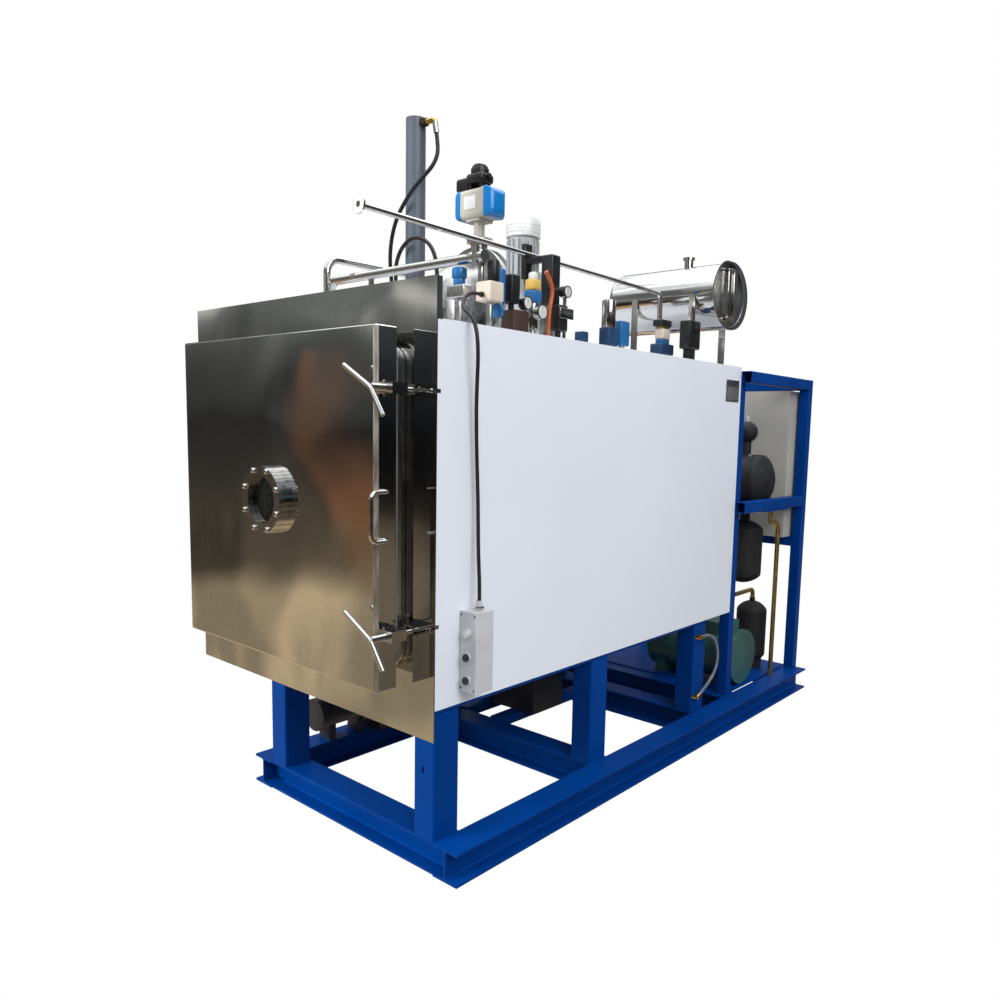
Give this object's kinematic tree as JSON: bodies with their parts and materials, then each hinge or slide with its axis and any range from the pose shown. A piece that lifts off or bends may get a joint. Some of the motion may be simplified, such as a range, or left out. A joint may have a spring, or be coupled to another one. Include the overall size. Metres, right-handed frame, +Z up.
{
  "type": "freeze dryer",
  "caption": "Pilot freeze dryer: polished clamped door on a box chamber, shelf press, roof valve and pipes, tank, and an open blue rear machinery bay.",
  "frame": {"origin": "on the floor under the middle of the machine's overall box", "axes": "+X to the right seen from the door, +Y from the door to the rear bay, +Z up"},
  "size_m": [1.4, 2.736, 2.312],
  "materials": {
    "blue_frame_paint": "satin",
    "polished_steel": "mirror polished",
    "brushed_steel": "brushed",
    "white_panel": "gloss",
    "cylinder_paint": "satin",
    "cast_grey": "rough",
    "actuator_grey": "satin",
    "blue_cap": "satin",
    "white_plastic": "matte",
    "black_plastic": "matte",
    "black_rubber": "matte",
    "grey_rubber": "matte",
    "silicone": "matte",
    "insulation": "foam",
    "beige_paint": "textured",
    "green_paint": "gloss",
    "copper_pipe": "smooth",
    "clear_glass": "clear",
    "lamp_white": "gloss",
    "gauge_face": "gloss"
  },
  "bodies": {
    "frame": {"base_frame": "blue_frame_paint", "chamber_stand": "blue_frame_paint", "rear_frame_posts": "blue_frame_paint", "rear_frame_rails": "blue_frame_paint", "front_surround": "polished_steel", "side_panel_right": "white_panel", "side_panel_left": "white_panel", "roof_panel": "white_panel", "rear_panel": "white_panel", "chamber_shell": "brushed_steel", "trim_frame": "polished_steel", "door_gasket": "silicone", "hinge_brackets": "polished_steel", "hinge_pins": "brushed_steel", "clamp_keepers": "polished_steel", "hydraulic_cylinder": "cylinder_paint", "shelf_bottom": "brushed_steel", "shelf_guide_rods": "brushed_steel", "cold_trap": "brushed_steel", "vapour_duct": "brushed_steel", "butterfly_valve_body": "brushed_steel", "actuator_body": "actuator_grey", "actuator_end_caps": "blue_cap", "position_box": "black_plastic", "circulation_pump": "cast_grey", "motor_fan_cover": "white_plastic", "valve_manifold": "brushed_steel", "pressure_gauges": "gauge_face", "vent_pipe": "brushed_steel", "process_pipes": "brushed_steel", "water_tank": "brushed_steel", "electric_cabinet": "beige_paint", "compressor": "green_paint", "insulated_vessels": "insulation", "refrigerant_pipes": "copper_pipe", "vacuum_pump": "cast_grey", "station_box": "beige_paint", "station_cable": "black_rubber", "hydraulic_hose_a": "black_rubber", "hydraulic_hose_b": "black_rubber", "grey_hose": "grey_rubber"},
    "door": {"door_shell": "polished_steel", "door_back_plate": "brushed_steel", "sight_glass_ring": "polished_steel", "sight_glass_pane": "clear_glass", "sight_glass_bolts": "brushed_steel", "door_pull_handle": "brushed_steel", "door_hinge_arms": "polished_steel", "clamp_brackets": "polished_steel"},
    "upper_clamp": {"upper_clamp_spindle": "brushed_steel"},
    "lower_clamp": {"lower_clamp_spindle": "brushed_steel"},
    "ram": {"ram_plunger": "brushed_steel", "pressure_plate": "brushed_steel"},
    "upper_shelf": {"shelf_upper": "brushed_steel"},
    "middle_shelf": {"shelf_middle": "brushed_steel"},
    "valve_disc": {"butterfly_disc": "brushed_steel"},
    "cabinet_leaf": {"cabinet_door": "beige_paint"},
    "lamp": {"lamp_button": "lamp_white"},
    "start": {"start_button": "black_plastic"},
    "stop": {"stop_button": "black_plastic"}
  },
  "joints": [
    {"name": "door_swing", "type": "hinge", "parent": "frame", "child": "door", "pos_m": [-0.445, -1.272, 1.071], "axis": [0, 0, -1], "range_deg": [0, 110]},
    {"name": "upper_clamp_turn", "type": "hinge", "parent": "door", "child": "upper_clamp", "pos_m": [0.622, -1.272, 1.391], "axis": [0, 1, 0], "range_deg": [0, 90]},
    {"name": "lower_clamp_turn", "type": "hinge", "parent": "door", "child": "lower_clamp", "pos_m": [0.622, -1.272, 0.751], "axis": [0, 1, 0], "range_deg": [0, 90]},
    {"name": "ram_stroke", "type": "slide", "parent": "frame", "child": "ram", "axis": [0, 0, -1], "range_m": [0, 0.36]},
    {"name": "upper_shelf_lift", "type": "slide", "parent": "frame", "child": "upper_shelf", "axis": [0, 0, -1], "range_m": [0, 0.24]},
    {"name": "middle_shelf_lift", "type": "slide", "parent": "frame", "child": "middle_shelf", "axis": [0, 0, -1], "range_m": [0, 0.12]},
    {"name": "vapour_valve_turn", "type": "hinge", "parent": "frame", "child": "valve_disc", "pos_m": [0.09, -0.452, 1.785], "axis": [0, 0, 1], "range_deg": [0, 90]},
    {"name": "cabinet_door_swing", "type": "hinge", "parent": "frame", "child": "cabinet_leaf", "pos_m": [-0.018, 1.357, 1.15], "axis": [0, 0, 1], "range_deg": [0, 120]},
    {"name": "lamp_press", "type": "slide", "parent": "frame", "child": "lamp", "axis": [0, 1, 0], "range_m": [0, 0.0035], "stiffness_N_per_m": 800, "springref_m": -0.002},
    {"name": "start_press", "type": "slide", "parent": "frame", "child": "start", "axis": [0, 1, 0], "range_m": [0, 0.0035], "stiffness_N_per_m": 800, "springref_m": -0.002},
    {"name": "stop_press", "type": "slide", "parent": "frame", "child": "stop", "axis": [0, 1, 0], "range_m": [0, 0.0035], "stiffness_N_per_m": 800, "springref_m": -0.002}
  ],
  "couplings": [
    {"joint": "upper_shelf_lift", "follows": "ram_stroke", "ratio": 0.6666},
    {"joint": "middle_shelf_lift", "follows": "ram_stroke", "ratio": 0.3333}
  ]
}
